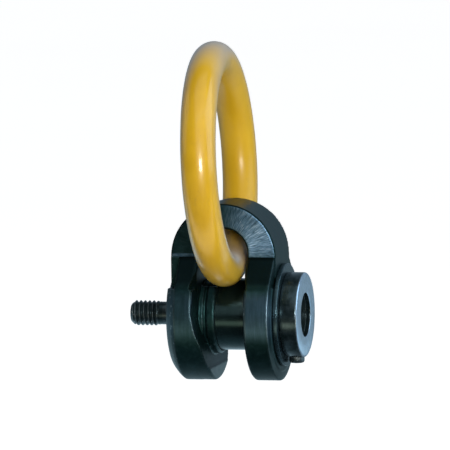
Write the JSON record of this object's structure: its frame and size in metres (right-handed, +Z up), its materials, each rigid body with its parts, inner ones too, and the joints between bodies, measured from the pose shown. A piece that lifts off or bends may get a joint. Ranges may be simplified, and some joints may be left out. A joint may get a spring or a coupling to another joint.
{
  "type": "side-pull swivel hoist ring",
  "caption": "Black forged clevis that turns on a bushing clamped by a captive socket head screw, with a round yellow lifting ring pivoting in its flared eye.",
  "frame": {"origin": "centre of the bushing's seating face, on the screw axis", "axes": "+X along the screw axis towards the screw head, so the thread points along -X; +Z up through the arch, with the lifting ring hanging upwards; Y is left over"},
  "size_m": [0.0561, 0.077, 0.1079],
  "materials": {
    "black_oxide_forging": "black oxide over forged and machined steel, satin",
    "yellow_enamel": "glossy safety yellow enamel",
    "ground_black_steel": "ground and blackened, semi-gloss",
    "blued_collar": "turned and blued, semi-gloss",
    "bronze_washer": "sintered bronze",
    "black_screw_steel": "black oxide alloy steel",
    "bright_washer": "hardened steel, plain",
    "spring_steel": "phosphated spring steel"
  },
  "bodies": {
    "core": {"bushing": "ground_black_steel", "head_collar": "blued_collar", "collar_lock_screw": "black_screw_steel"},
    "swivel": {"swivel_body": "black_oxide_forging"},
    "ring": {"lifting_ring": "yellow_enamel"},
    "screw": {"socket_screw": "black_screw_steel", "screw_washer": "bright_washer", "screw_retaining_ring": "spring_steel"},
    "head_washer": {"head_thrust_washer": "ground_black_steel"},
    "seat_washer": {"seat_thrust_washer": "bronze_washer"}
  },
  "joints": [
    {"name": "body_swivel", "type": "hinge", "parent": "core", "child": "swivel", "pos_m": [0.0175, 0, 0], "axis": [1, 0, 0], "continuous": true},
    {"name": "ring_pivot", "type": "hinge", "parent": "swivel", "child": "ring", "pos_m": [0.0183, 0, 0.0187], "axis": [0, 0.9703, 0.2419], "range_deg": [-85, 85]},
    {"name": "screw_turn", "type": "hinge", "parent": "core", "child": "screw", "pos_m": [0.03, 0, 0], "axis": [1, 0, 0], "continuous": true},
    {"name": "head_washer_turn", "type": "hinge", "parent": "core", "child": "head_washer", "pos_m": [0.03525, 0, 0], "axis": [1, 0, 0], "continuous": true},
    {"name": "seat_washer_turn", "type": "hinge", "parent": "core", "child": "seat_washer", "pos_m": [0.0035, 0, 0], "axis": [1, 0, 0], "continuous": true}
  ]
}
